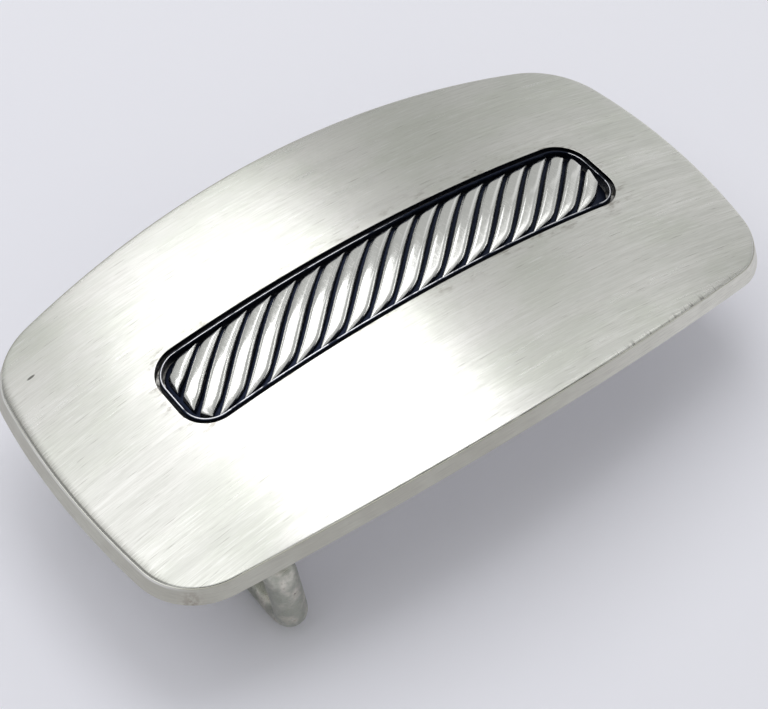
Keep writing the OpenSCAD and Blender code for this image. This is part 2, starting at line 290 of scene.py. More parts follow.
# ---------------------------------------------------------------- material nodes
class Metal:
    """A metal whose colour, roughness and bump are built from nodes."""

    def __init__(self, name):
        self.mat = bpy.data.materials.new(name)
        self.mat.use_nodes = True
        self.tree = self.mat.node_tree
        self.bsdf = self.tree.nodes["Principled BSDF"]
        self.bsdf.inputs["Metallic"].default_value = 1.0
        self.coords = self.node("ShaderNodeTexCoord").outputs["Object"]
        self.uv = self.node("ShaderNodeTexCoord").outputs["UV"]

    def node(self, kind, inputs=None, **props):
        n = self.tree.nodes.new(kind)
        for key, value in props.items():
            setattr(n, key, value)
        for key, value in (inputs or {}).items():
            self.put(n.inputs[key], value)
        return n

    def put(self, socket, value):
        if isinstance(value, bpy.types.NodeSocket):
            self.tree.links.new(value, socket)
        else:
            socket.default_value = value

    def mapped(self, scale, offset=(0, 0, 0)):
        """The object's coordinates, in repeats per millimetre."""
        inputs = {"Vector": self.coords, "Scale": tuple(s / MM for s in scale), "Location": offset}
        return self.node("ShaderNodeMapping", inputs).outputs["Vector"]

    def uv_mapped(self, scale):
        """The UV map's coordinates, in repeats per millimetre."""
        inputs = {"Vector": self.uv, "Scale": tuple(s / UV_PER_MM for s in scale)}
        return self.node("ShaderNodeMapping", inputs).outputs["Vector"]

    def noise(self, vector, detail, rough):
        inputs = {"Vector": vector, "Scale": 1.0, "Detail": detail, "Roughness": rough, "Distortion": 0.0}
        return self.node("ShaderNodeTexNoise", inputs).outputs["Fac"]

    def cells(self, vector):
        inputs = {"Vector": vector, "Scale": 1.0, "Randomness": 1.0}
        return self.node("ShaderNodeTexVoronoi", inputs).outputs["Distance"]

    def ramp(self, value, low, high, out_low=0.0, out_high=1.0):
        """value from low..high to out_low..out_high, smooth and clamped."""
        inputs = {"Value": value, "From Min": low, "From Max": high, "To Min": out_low, "To Max": out_high}
        return self.node("ShaderNodeMapRange", inputs, interpolation_type="SMOOTHSTEP").outputs["Result"]

    def math(self, operation, a, b):
        return self.node("ShaderNodeMath", {0: a, 1: b}, operation=operation).outputs["Value"]

    def times(self, a, b):
        return self.math("MULTIPLY", a, b)

    def plus(self, a, b):
        return self.math("ADD", a, b)

    def minus(self, a, b):
        return self.math("SUBTRACT", a, b)

    def mix(self, factor, a, b):
        """Colour a where factor is 0 and b where it is 1."""
        n = self.node("ShaderNodeMix", data_type="RGBA")
        self.put(n.inputs["Factor"], factor)
        self.put(n.inputs[6], a)
        self.put(n.inputs[7], b)
        return n.outputs[2]

    def length(self, vector):
        """Distance of a coordinate from its origin."""
        return self.node("ShaderNodeVectorMath", {0: vector}, operation="LENGTH").outputs["Value"]

    def field(self, name):
        """A mesh's per-vertex field."""
        return self.node("ShaderNodeAttribute", attribute_name=name).outputs["Fac"]

    def bump(self, height, distance, normal=None):
        """Bump of distance millimetres for a height value of 0 to 1."""
        inputs = {"Height": height, "Distance": distance * MM, "Strength": 1.0}
        if normal is not None:
            inputs["Normal"] = normal
        return self.node("ShaderNodeBump", inputs).outputs["Normal"]

    def set(self, **values):
        names = {"color": "Base Color", "rough": "Roughness", "normal": "Normal", "metal": "Metallic",
                 "aniso": "Anisotropic", "turn": "Anisotropic Rotation", "tangent": "Tangent"}
        for key, value in values.items():
            self.put(self.bsdf.inputs[names[key]], value)


def rgb(r, g, b):
    return (r, g, b, 1.0)


SILVER = rgb(0.86, 0.855, 0.83)
SILVER_WARM = rgb(0.80, 0.755, 0.68)
SILVER_COOL = rgb(0.775, 0.79, 0.735)
BRUSHED_DARK, BRUSHED_LIGHT = rgb(0.66, 0.66, 0.625), rgb(0.94, 0.94, 0.93)
BAND_GREY = rgb(0.76, 0.765, 0.73)
LINE_DARK, LINE_LIGHT = rgb(0.46, 0.45, 0.42), rgb(0.97, 0.97, 0.965)
# painted shade for the rolled-off left edge of the face
ROLL_SHADE_GREY = rgb(0.34, 0.335, 0.31)
DING_DARK, NICK_DARK = rgb(0.10, 0.10, 0.09), rgb(0.26, 0.25, 0.24)
# the wall in painted shade and in painted light, for its reflection of the floor, and a cloud tone
WALL_SHADED, WALL_LIT, WALL_CLOUD = rgb(0.50, 0.49, 0.43), rgb(0.78, 0.77, 0.70), rgb(0.60, 0.60, 0.53)
HAIR_DARK, HAIR_LIGHT = rgb(0.40, 0.385, 0.35), rgb(0.86, 0.85, 0.82)
# a painted highlight for the wall's top arris at the left end, and a dark brown spot
ARRIS_HIGHLIGHT, SPOT_BROWN = rgb(0.93, 0.93, 0.90), rgb(0.16, 0.10, 0.07)
STRAND_LIGHT, STRAND_GREY = rgb(0.90, 0.90, 0.885), rgb(0.52, 0.52, 0.53)
# the wire's greenish tarnished grey, darkened further as painted shade for the dark underside it reflects
WIRE_GREY_SHADED = rgb(0.41, 0.42, 0.365)
TARNISH = rgb(0.20, 0.165, 0.125)
# near black, for the seam, the slot's pocket, and painted shade on the saddle
NEAR_BLACK = rgb(0.05, 0.045, 0.04)
OXIDE, OXIDE_LIGHT, OXIDE_WORN = rgb(0.018, 0.023, 0.042), rgb(0.05, 0.052, 0.062), rgb(0.78, 0.79, 0.84)


def satin_stains(m, color):
    """Tarnish round the slot, its black wall, and pits."""
    patchy = m.ramp(m.noise(m.mapped((0.5, 1.4, 1.0)), 4.0, 0.65), 0.5, 0.72)
    tarnish = m.times(m.ramp(m.field("slot"), 0.15, 1.0), patchy)
    color = m.mix(m.times(tarnish, 0.55), color, TARNISH)
    wall = m.ramp(m.times(m.field("deep"), m.ramp(m.field("slot"), 0.9, 0.99)), 0.03, 0.09)
    color = m.mix(wall, color, OXIDE)
    pits = m.ramp(m.cells(m.mapped((0.11, 0.16, 0.0), offset=(0.3, 0.2, 0.0))), 0.012, 0.03, 1.0, 0.0)
    return m.mix(m.times(pits, 0.8), color, TARNISH)


def satin_wear_and_shade(m, color):
    """Painted shade on the ragged roll-off at the left end, the ding, and the nicks along the near edge."""
    ragged = m.noise(m.mapped((0.25, 7.0, 0.0), offset=(5.0, 5.0, 0.0)), 5.0, 0.7)
    roll = m.ramp(m.plus(m.field("roll"), m.ramp(ragged, 0.3, 0.7, -0.22, 0.22)), 0.12, 1.05)
    # painted shade: the rolled-off left edge is greyed, with a ragged border
    color = m.mix(m.times(roll, 0.72), color, ROLL_SHADE_GREY)
    at_ding = (-DING[0] * DING_SCALE[0], -DING[1] * DING_SCALE[1], 0.0)
    ding = m.ramp(m.length(m.mapped(DING_SCALE, offset=at_ding)), 0.55, 1.0, 1.0, 0.0)
    color = m.mix(m.times(ding, 0.85), color, DING_DARK)
    marks = m.noise(m.mapped((2.6, 0.30, 0.0), offset=(1.0, 2.0, 0.0)), 3.0, 0.6)
    nick = m.times(m.field("nick"), m.ramp(marks, 0.52, 0.66))
    return m.mix(m.times(nick, 0.75), color, NICK_DARK)


def satin(name):
    """Silver brushed along X: fine light and dark lines, faint bands and clouds, stains and wear, and painted
    shade on the rolled-off left edge.
    """
    m = Metal(name)
    fine = m.noise(m.mapped((0.42, 11.0, 0.0)), 4.0, 0.65)
    hair = m.noise(m.mapped((0.11, 3.6, 0.0), offset=(4.1, 1.7, 0.0)), 3.0, 0.6)
    line = m.noise(m.mapped((0.34, 7.5, 0.0), offset=(7.3, 0.4, 0.0)), 2.0, 0.5)
    band = m.noise(m.mapped((0.014, 0.50, 0.0), offset=(9.0, 3.0, 0.0)), 2.0, 0.5)
    cloud = m.noise(m.mapped((0.07, 0.11, 0.06), offset=(2.0, 8.0, 0.0)), 4.0, 0.6)
    streak = m.plus(m.times(fine, 0.5), m.times(hair, 0.5))
    color = m.mix(m.ramp(cloud, 0.40, 0.62), SILVER, SILVER_COOL)
    color = m.mix(m.ramp(streak, 0.46, 0.58, 0.0, 0.42), color, BRUSHED_DARK)
    color = m.mix(m.ramp(streak, 0.40, 0.47, 0.45, 0.0), color, BRUSHED_LIGHT)
    color = m.mix(m.ramp(band, 0.47, 0.62, 0.0, 0.40), color, BAND_GREY)
    color = m.mix(m.ramp(line, 0.63, 0.75, 0.0, 0.70), color, LINE_DARK)
    color = m.mix(m.ramp(line, 0.25, 0.37, 0.80, 0.0), color, LINE_LIGHT)
    color = satin_wear_and_shade(m, satin_stains(m, color))
    rough = m.plus(m.ramp(streak, 0.3, 0.7, 0.27, 0.38), m.ramp(band, 0.3, 0.7, -0.02, 0.03))
    rough = m.minus(rough, m.times(m.field("edge"), 0.08))
    normal = m.bump(streak, 0.0075)
    normal = m.bump(band, 0.012, normal)
    normal = m.bump(cloud, 0.05, normal)
    tangent = m.node("ShaderNodeTangent", direction_type="UV_MAP", uv_map="UVMap").outputs["Tangent"]
    m.set(color=color, rough=rough, normal=normal, aniso=0.75, turn=0.25, tangent=tangent)
    return m.mat


def polished(name, rough_low, rough_high, warm, dents, wear, base=SILVER, patch=0.16):
    """Polished silver that has been worn: soft dents, fine scratches, warm clouds and tarnish.

    The clouds repeat patch times per millimetre.
    """
    m = Metal(name)
    cloud = m.noise(m.mapped((patch, patch, patch), offset=(1.0, 5.0, 2.0)), 4.0, 0.55)
    grain = m.noise(m.mapped((2.2, 2.2, 2.2)), 4.0, 0.6)
    fine = m.noise(m.mapped((0.9, 7.0, 7.0), offset=(3.0, 0.0, 1.0)), 3.0, 0.6)
    color = m.mix(m.ramp(cloud, 0.42, 0.72, 0.0, warm), base, SILVER_WARM)
    stain = m.times(m.ramp(cloud, 0.56, 0.70), m.ramp(grain, 0.50, 0.68))
    color = m.mix(m.times(stain, wear), color, TARNISH)
    # near black where the mesh's field is set: inside the slot's pocket, and a little over the saddle as
    # painted shade
    dirt = m.times(m.field("dirt"), m.ramp(grain, 0.30, 0.62, 1.0, 0.35))
    color = m.mix(dirt, color, NEAR_BLACK)
    rough = m.plus(m.ramp(fine, 0.35, 0.7, rough_low, rough_high), m.times(dirt, 0.25))
    normal = m.bump(m.noise(m.mapped((0.45, 0.45, 0.45)), 2.0, 0.5), dents)
    normal = m.bump(grain, dents * 0.12, normal)
    m.set(color=color, rough=rough, normal=normal)
    return m.mat


def rim_silver(name):
    """The side wall: smooth, warm grey and finely brushed along its length, with a painted reflection (shaded
    towards the left, where it stands for the floor's shadow, and lit towards the right) and a painted
    highlight along its top arris at the left end.
    """
    m = Metal(name)
    cloud = m.noise(m.mapped((0.20, 0.20, 0.20), offset=(3.0, 1.0, 2.0)), 4.0, 0.6)
    hair = m.noise(m.uv_mapped((0.35, 14.0, 1.0)), 3.0, 0.6)
    grain = m.noise(m.mapped((2.4, 2.4, 2.4)), 4.0, 0.6)
    # painted reflection: darker on the left, where the wall stands for reflecting the floor's shadow, and
    # lighter on the right
    color = m.mix(m.field("bright"), WALL_SHADED, WALL_LIT)
    # painted highlight along the top arris at the left end
    color = m.mix(m.field("arris"), color, ARRIS_HIGHLIGHT)
    color = m.mix(m.ramp(cloud, 0.40, 0.68, 0.0, 0.45), color, WALL_CLOUD)
    color = m.mix(m.ramp(hair, 0.42, 0.70, 0.0, 0.40), color, HAIR_DARK)
    color = m.mix(m.ramp(hair, 0.22, 0.38, 0.30, 0.0), color, HAIR_LIGHT)
    spot = m.times(m.field("spot"), m.ramp(grain, 0.36, 0.60))
    color = m.mix(m.times(spot, 0.9), color, SPOT_BROWN)
    # near black mottling where the mesh's field is set: along the seam at the wall's top
    dirt = m.times(m.field("dirt"), m.ramp(grain, 0.30, 0.62, 1.0, 0.45))
    color = m.mix(dirt, color, NEAR_BLACK)
    normal = m.bump(hair, 0.003)
    normal = m.bump(cloud, 0.03, normal)
    m.set(color=color, rough=m.ramp(hair, 0.3, 0.7, 0.30, 0.40), normal=normal)
    return m.mat


def cable_silver(name):
    """Bright silver strands, black where 'groove' nears 1 at their foot, and torn black where 'tail' does."""
    m = Metal(name)
    grain = m.noise(m.mapped((3.0, 3.0, 3.0)), 4.0, 0.6)
    torn = m.noise(m.mapped((2.3, 1.4, 1.6), offset=(2.0, 0.0, 4.0)), 4.0, 0.65)
    tear = m.times(m.ramp(torn, 0.32, 0.68, -0.25, 0.60), m.plus(m.field("tail"), 0.06))
    foot = m.plus(m.field("groove"), tear)
    black = m.ramp(foot, 0.52, 0.74)
    grey = m.ramp(foot, 0.30, 0.60)
    color = m.mix(m.times(grey, 0.35), STRAND_LIGHT, STRAND_GREY)
    color = m.mix(black, color, OXIDE)
    scratch = m.noise(m.mapped((5.0, 0.8, 2.0), offset=(0.0, 2.0, 0.0)), 3.0, 0.6)
    rough = m.plus(m.ramp(scratch, 0.35, 0.7, 0.20, 0.28), m.times(black, 0.35))
    normal = m.bump(m.noise(m.mapped((0.7, 0.7, 0.7)), 2.0, 0.5), 0.006)
    normal = m.bump(grain, 0.004, normal)
    m.set(color=color, rough=rough, normal=normal)
    return m.mat


def blackened(name, worn_edge=False):
    """Oxidised silver: near black and mottled. The field 'worn' bares the silver."""
    m = Metal(name)
    grain = m.noise(m.mapped((4.0, 4.0, 4.0)), 5.0, 0.65)
    color = m.mix(m.ramp(grain, 0.62, 0.80), OXIDE, OXIDE_LIGHT)
    rough = m.ramp(grain, 0.3, 0.7, 0.34, 0.55)
    if worn_edge:
        broken = m.noise(m.mapped((0.55, 0.55, 0.55), offset=(6.0, 1.0, 0.0)), 4.0, 0.6)
        worn = m.times(m.field("worn"), m.ramp(broken, 0.30, 0.55, 0.35, 1.0))
        color = m.mix(m.ramp(worn, 0.2, 0.6), color, OXIDE_WORN)
        rough = m.minus(rough, m.times(worn, 0.15))
    m.set(color=color, rough=rough, normal=m.bump(grain, 0.02))
    return m.mat


# ---------------------------------------------------------------- the plate
def rim_rings(profile):
    """Rings from (inset from the plate's outline, depth below the dome), one number or one per point."""
    base = plate_loop(0)
    inward = plate_loop(1) - base
    return [on_dome(base + np.reshape(a, (-1, 1)) * inward, DOME_R - d) for a, d in profile]


def roll_off():
    """How wide and how deep the face rolls off at its edge, for each point of the outline."""
    x, y = plate_loop(0).T
    left, right, near = smooth(-x, 33.0, 36.0), smooth(x, 32.0, 35.0), smooth(-y, 12.0, 17.0)
    wide = 0.10 + 0.80 * left + near * (0.30 * right + 0.18 * smooth(x, 6.0, 14.0))
    deep = 0.045 + 0.13 * left + near * (0.10 * right + 0.03 * smooth(x, 6.0, 14.0))
    return wide, deep


def seam_dirt(x, y):
    """How open and dark the seam is: mostly along the near edge left of its middle, and in patches."""
    near = smooth(-y, 14.0, 17.0)
    patches = 0.62 + 0.38 * np.sin(1.9 * x + 0.7) * np.sin(0.83 * x + 2.1)
    middle = smooth(x, -24.0, -12.0) * (1 - smooth(x, 7.0, 13.0))
    corner = smooth(-x, 27.0, 31.0) * (1 - smooth(-x, 35.4, 36.4))
    return near * (middle * patches + 0.6 * corner) + 0.12


def slot_rings(profile):
    """Rings from (inset from the slot's outline, depth below the dome)."""
    return [on_dome(slot_loop(a), DOME_R - d) for a, d in profile]


def slot_edge(r):
    """Points (inset, depth) round the slot's top edge, from the face to the slot's wall."""
    return [(-r * (1 - math.sin(a)), r * (1 - math.cos(a))) for a in np.linspace(0, math.pi / 2, 6)]


def face_sheet():
    """The face, with a rounded edge at the slot, a rolled-off outer edge, and fields of wear and of painted
    shade.
    """
    seam = SEAM + 0.006 + 0.032 * seam_dirt(*plate_loop(0).T)
    wide, deep = roll_off()
    turn = np.linspace(0, math.pi / 2, 9)
    outer = [(seam + 0.02 + wide * (1 - math.sin(a)), deep * (1 - math.cos(a))) for a in turn]
    inner = slot_edge(0.04)
    low = FACE_T - THIN
    top_in, top_out = slot_loop(inner[0][0]), rim_rings(outer[:1])[0][:, :2]
    rings = [on_dome(top_in, DOME_R)] + between(top_in, top_out, 46, DOME_R)
    rings += rim_rings(outer + [(seam, deep + 0.03), (seam, 0.4), (seam, low)])
    rings += between(rim_rings([(seam, low)])[0][:, :2], slot_loop(0.0), 12, DOME_R - low)
    rings += slot_rings([(0.0, low), (0.0, 0.45)] + inner[:0:-1])
    verts, faces = ring_shell(rings)
    depth = DOME_R - np.linalg.norm(verts - [0, 0, DOME_Z], axis=1)
    slot = signed_rect(verts, SLOT_L, SLOT_W, SLOT_R)
    x, y = verts[:, 0], verts[:, 1]
    inside = outline_distance(verts)
    edge = np.clip(1 - inside / 0.8, 0, 1)
    # where the face's rolled-off left edge gets painted shade
    roll = np.clip(1.15 - inside / 0.95, 0, 1) * smooth(-x, 32.5, 35.0)
    near_right = smooth(-y, 14.0, 16.0) * smooth(x, 8.0, 12.0) * (1 - smooth(x, 27.0, 31.0))
    nick = near_right * np.clip(1.2 - inside / 0.6, 0, 1)
    by_slot = np.clip(1 - slot / 2.6, 0, 1)
    return make("face_sheet_skin", verts, faces, slot=by_slot, edge=edge, deep=depth, roll=roll, nick=nick)


def signed_rect(v, length, width, r):
    """Distance of each point outside a round rectangle, seen from above."""
    q = np.abs(v[:, :2] - [SLOT_X, SLOT_Y]) - [length / 2 - r, width / 2 - r]
    return np.linalg.norm(np.maximum(q, 0), axis=1) + np.minimum(q.max(1), 0) - r


def outline_distance(v):
    """Distance of each point inside the plate's outline, roughly, seen from above."""
    y, x = LONG_R - PLATE_W / 2, END_R - PLATE_L / 2
    a, b = np.abs(v[:, 0]), np.abs(v[:, 1])
    return np.minimum(LONG_R - np.hypot(a, b + y), END_R - np.hypot(a + x, b))


def rim_band():
    """The band with its outward-sloping wall. Its top follows the face's roll-off."""
    foot, low = -DRAFT * PLATE_T, PLATE_T - GAP
    deep = roll_off()[1]
    corners = fillet([(SEAM, 0.0, 0.015), (0.015, 0.0, 0.09), (foot, low, 0.06), (SEAM, low, 0.05)], 8)
    profile = subdivide(corners, 0.12)
    share = np.clip(1 - profile[:, 1] / (0.6 * PLATE_T), 0, 1)
    pairs = [(a, d + deep * f + 0.015) for (a, d), f in zip(profile, share)]
    verts, faces = ring_shell(rim_rings(pairs))
    n = len(deep)
    along = np.tile(np.arange(n), len(profile)) * 0.4
    across = np.repeat(np.arange(len(profile)) * 0.1, n)
    inset = np.repeat(profile[:, 0], n)
    depth = np.repeat(profile[:, 1], n)
    x, y = verts[:, 0], verts[:, 1]
    # darker towards the seam at the wall's top, most along the near edge and in patches
    dirt = np.clip((inset - SEAM + 0.06) / 0.05, 0, 1) * (depth < 0.6) * np.clip(seam_dirt(x, y), 0, 1)
    spot = np.exp(-((x - SPOT[0]) ** 2 + (y - SPOT[1]) ** 2) / 0.9) * smooth(depth, 0.1, 0.5)
    # painted highlight: a light line along the wall's top at the left end
    arris = (1 - smooth(depth, 0.10, 0.24)) * smooth(-x, 33.0, 35.5) * 0.8
    # painted reflection: the wall is shaded left of the middle and lit towards the right end
    uv, bright = np.c_[along, across], smooth(x, -6.0, 26.0)
    return make("rim_band_skin", verts, faces, uv, dirt=dirt, bright=bright, spot=spot, arris=arris)


def back_plate():
    """The lower sheet, with the pocket that the cable lies in."""
    edge, top, low = SEAM + THIN, FACE_T + THIN, PLATE_T
    r = 0.12
    side = [(edge + r, low), (edge + 0.04, low - 0.03), (edge, low - r), (edge, top)]
    pocket = [(0.0, top), (0.0, POCKET_D - r), (0.04, POCKET_D - 0.03), (r, POCKET_D)]
    start, floor = plate_loop(edge + r), slot_loop(r)
    tiny = start * CORE
    rings = between(tiny, start, 40, DOME_R - low)
    rings = [on_dome(tiny, DOME_R - low)] + rings + rim_rings(side)
    rings += between(plate_loop(edge), slot_loop(0.0), 8, DOME_R - top) + slot_rings(pocket)
    shrink = core_of(floor)
    rings += between(floor, shrink, 16, POCKET_R) + [on_dome(shrink, POCKET_R)]
    shell = capped_shell(rings, (0, 0, DOME_Z + UNDER_R), slot_middle(POCKET_R))
    deep = DOME_R - np.linalg.norm(shell[0] - [0, 0, DOME_Z], axis=1)
    inside = signed_rect(shell[0], SLOT_L, SLOT_W, SLOT_R) < 0.05
    # near black inside the slot's pocket
    dirt = (inside & (deep < PLATE_T - 0.1)).astype(float)
    return make("back_plate_skin", *shell, dirt=dirt)


def core_of(loop):
    """A tiny loop at the middle of the slot, where the rings of a floor end."""
    return (loop - [SLOT_X, SLOT_Y]) * CORE + [SLOT_X, SLOT_Y]


def slot_middle(r):
    """The point of a dome of radius r over the middle of the slot."""
    return tuple(on_dome(np.array([[SLOT_X, SLOT_Y]]), r)[0])


def slot_bezel():
    """The thin strip round the inlay, with its silver bared along the top."""
    a, b, top, low = BEZEL_GAP, BEZEL_GAP + BEZEL_T, BEZEL_DROP, POCKET_D - THIN
    profile = fillet([(a, top + 0.05, 0.09), (b, top, 0.05), (b, low, 0.02), (a, low, 0.02)], 6)
    profile = subdivide(profile, 0.2)
    verts, faces = ring_shell(slot_rings(profile))
    n = len(slot_loop(0))
    inset, depth = np.repeat(profile[:, 0], n), np.repeat(profile[:, 1], n)
    worn = np.clip(1 - (depth - top) / 0.05, 0, 1) * np.clip((inset - a) / (0.7 * BEZEL_T), 0, 1)
    # the far side of the strip stays black towards the right
    x, y = verts[:, 0] - SLOT_X, verts[:, 1] - SLOT_Y
    worn *= np.where(y > 0.75 * SLOT_W / 2 - 0.4, 1 - 0.8 * np.clip((x + 2) / 8, 0, 1), 1.0)
    return make("slot_bezel_skin", verts, faces, worn=worn)


def cable_bed():
    """The blackened bed under the strands, with its upper edge rounded."""
    inner, middle, outer = (round_rect_loop(CABLE_L, CABLE_W, CABLE_R, a) for a in (0.1, 0.03, 0.0))
    core, under = core_of(inner), POCKET_R + THIN
    rings = [on_dome(core, BED_R)] + between(core, inner, 20, BED_R)
    rings += [on_dome(inner, BED_R), on_dome(middle, BED_R - 0.03), on_dome(outer, BED_R - 0.1)]
    rings += [on_dome(outer, under)] + between(outer, core, 16, under) + [on_dome(core, under)]
    return make("cable_bed_skin", *capped_shell(rings, slot_middle(BED_R), slot_middle(under)))


# ---------------------------------------------------------------- the cable
def end_u(v):
    """Half the cable's length at v across it."""
    s = np.maximum(np.abs(v) - (CABLE_W / 2 - CABLE_R), 0)
    return CABLE_L / 2 - CABLE_R + np.sqrt(np.maximum(CABLE_R * CABLE_R - s * s, 0))


def quarter(s):
    """A quarter circle's rise from 0 to 1 over s from 0 to 1."""
    return np.sqrt(1 - (1 - np.minimum(s, 1)) ** 2)


def strand(k):
    """One strand: an arched bar that leans across the cable. Its fields are 1 at its foot and near end."""
    margin, half = 0.03, (PITCH - GROOVE) / 2

    def span(v):
        u = PITCH * k + SHIFT + LEAN * v + CURL * v**3
        return np.maximum(u - half, margin - end_u(v)), np.minimum(u + half, end_u(v) - margin)

    v = np.linspace(-CABLE_W / 2 + 0.05, CABLE_W / 2 - 0.05, STRAND_SEARCH)
    left, right = span(v)
    inside = v[right - left > 0.35]
    low, high = inside[0], inside[-1]
    t = (1 - np.cos(np.linspace(0.05, math.pi - 0.05, STRAND_RINGS))) / 2
    v = low + (high - low) * t
    left, right = span(v)
    top_ease, low_ease = quarter((high - v) / ROUND_HIGH), quarter((v - low) / ROUND_LOW)
    reach = (right - left) / 2 * top_ease * low_ease
    middle = (left + right) / 2 + (right - left) / 2 * ((1 - top_ease) - (1 - low_ease))
    top = CREST - FALL * (np.hypot(2 * v / CABLE_W, RIDGE) - RIDGE) / (math.hypot(1, RIDGE) - RIDGE)
    rise = (top + DOME_R - BED_R) * (0.45 + 0.20 * low_ease + 0.35 * top_ease * low_ease)
    c = np.cos(np.linspace(0, math.pi, STRAND_ARCH))
    s = np.sqrt(1 - c**4)
    U = middle[:, None] + reach[:, None] * c + SLOT_X
    V = np.repeat(v[:, None], STRAND_ARCH, 1) + SLOT_Y
    W = BED_R + 0.015 + rise[:, None] * s
    q = np.sqrt(W * W - V * V)
    pts = np.stack([q * np.sin(U / DOME_R), V, DOME_Z + q * np.cos(U / DOME_R)], -1)
    foot = 1 - np.repeat(s[None], STRAND_RINGS, 0) * (0.3 + 0.7 * top_ease * low_ease)[:, None]
    shell = capped_shell(list(pts), pts[0].mean(0), pts[-1].mean(0))
    tail = np.repeat(1 - low_ease, STRAND_ARCH)
    return shell, np.r_[foot.ravel(), 1, 1], np.r_[tail, 1, 0]


def cable_strands():
    """All the strands as one mesh."""
    shells, feet, tails = zip(*(strand(k) for k in range(-STRANDS, STRANDS + 1)))
    verts, faces = join(shells)
    return make("cable_strands_skin", verts, faces, groove=np.concatenate(feet), tail=np.concatenate(tails))


# ---------------------------------------------------------------- the bail and its hinge
def wire(path, radius):
    """A round wire along a path in the plane x = const, with its ends rounded."""
    path = np.asarray(path, float)
    step = np.gradient(path, axis=0)
    step /= np.linalg.norm(step, axis=1)[:, None]
    side = np.array([1.0, 0, 0])
    up = np.cross(step, side)
    t = np.linspace(0, 2 * math.pi, WIRE_N, endpoint=False)
    rings = []
    for p, r, w in zip(path, radius, up):
        rings.append(p + r * (np.outer(np.cos(t), side) + np.outer(np.sin(t), w)))
    return capped_shell(rings, path[0], path[-1])


def bend(y, z, first, last):
    """Points of a bend in the bail, round (y, z), between two angles in degrees."""
    turn = np.linspace(math.radians(first), math.radians(last), 25)[1:]
    return [(0, y + BEND_R * math.cos(a), z + BEND_R * math.sin(a)) for a in turn]


def straight(p, q, n):
    """n points of a straight run from p to q, without p."""
    return [tuple(np.array(p) + (np.array(q) - p) * k / n) for k in range(1, n + 1)]


def bail():
    """The bail's wire: half is run from the hinge axis and mirrored, then the whole is leaned and placed."""
    low = BEND_R - DROP
    start = (0, BEND_Y - PIN_L, 0)
    path = [start] + straight(start, (0, BEND_Y, 0), 24)
    path += bend(BEND_Y, -BEND_R, 90, 0)
    path += straight((0, LEG_Y, -BEND_R), (0, LEG_Y, low), 16)
    path += bend(BEND_Y, low, 0, -90)
    path += straight((0, BEND_Y, -DROP), (0, 0, -DROP), 40)
    path = np.array(path)
    path = np.vstack([path, (path * [1, -1, 1])[::-1][1:]])
    run = np.r_[0, np.cumsum(np.linalg.norm(np.diff(path, axis=0), axis=1))]
    from_end = np.minimum(run, run[-1] - run)
    radius = np.full(len(path), WIRE_R - 0.004)
    radius *= np.sqrt(np.clip(1 - (1 - np.minimum(from_end / 0.5, 1)) ** 2 * 0.35, 0, 1))
    lean = Matrix.Rotation(math.radians(-BAIL_LEAN), 4, "Y")
    verts, faces = placed(wire(path, radius), Matrix.Translation((-BAIL_X, 0, AXIS_Z)) @ lean)
    return make("bail_skin", verts, faces, dirt=np.zeros(len(verts)))


def along_y(shell, z):
    """Turns a shell that was made round Z so that it lies along Y at the bail's place."""
    return placed(shell, Matrix.Translation((-BAIL_X, 0, z)) @ Matrix.Rotation(math.radians(-90), 4, "X"))


def hinge_tube():
    """The tube that the bail's two ends turn in."""
    h = TUBE_HALF
    ends = [(TUBE_BORE, -h, 0.12), (TUBE_R, -h, 0.18), (TUBE_R, h, 0.18), (TUBE_BORE, h, 0.12)]
    profile = subdivide(fillet(ends, 6), 1.5)
    verts, faces = along_y(lathe(profile, TURNED_N), AXIS_Z)
    return make("hinge_tube_skin", verts, faces, dirt=np.zeros(len(verts)))


def hinge_saddle():
    """A strip of solder and metal between the tube and the back, hollowed at its sides."""
    foot_z = AXIS_Z + SADDLE_FOOT
    n = 14
    rings = []
    for y in np.linspace(-TUBE_HALF + GAP, TUBE_HALF - GAP, 80):
        ease = math.sqrt(max(0.0, 1 - (max(0.0, abs(y) - TUBE_HALF + 0.35) / 0.36) ** 2)) * 0.15 + 0.85
        half = SADDLE_W / 2 * ease
        side = [(half * (0.90 + 0.10 * (2 * k / n - 1) ** 2), k / n) for k in range(n + 1)]
        ring = []
        for sign, run in ((1, side), (-1, side[::-1])):
            for x, f in run:
                px = -BAIL_X + sign * x
                roof = float(dome_at(UNDER_R, px, y)) - GAP
                ring.append((px, y, foot_z + (roof - foot_z) * f))
        rings.append(np.array(ring))
    shell = capped_shell(rings, rings[0].mean(0), rings[-1].mean(0))
    # painted shade: the saddle is darkened a little all over, for the shade under the plate, mottled by grain
    return make("hinge_saddle_skin", *shell, dirt=np.full(len(shell[0]), 0.15))


# the pad stands square to the dome; the prong leans from the middle of the pad's face
PAD_TILT = math.asin(PRONG_X / UNDER_R)
PAD_FACE = math.sqrt(UNDER_R**2 - PAD_R**2) - PAD_T
FOOT = Vector((PAD_FACE * math.sin(PAD_TILT), 0, DOME_Z + PAD_FACE * math.cos(PAD_TILT)))
PRONG_H = (FOOT.z - PRONG_R) / math.cos(math.radians(PRONG_LEAN))
PAD_FRAME = Matrix.Translation((0, 0, DOME_Z)) @ Matrix.Rotation(PAD_TILT, 4, "Y")
PRONG_FRAME = Matrix.Translation(FOOT) @ Matrix.Rotation(math.radians(180 + PRONG_LEAN), 4, "Y")


def foot_r(z):
    """Radius of the prong's flared foot at z above its pad."""
    f = (z + PRONG_SET) / (PRONG_SET + FOOT_RISE)
    return PRONG_R + FOOT_FLARE * max(0.0, 1 - f)


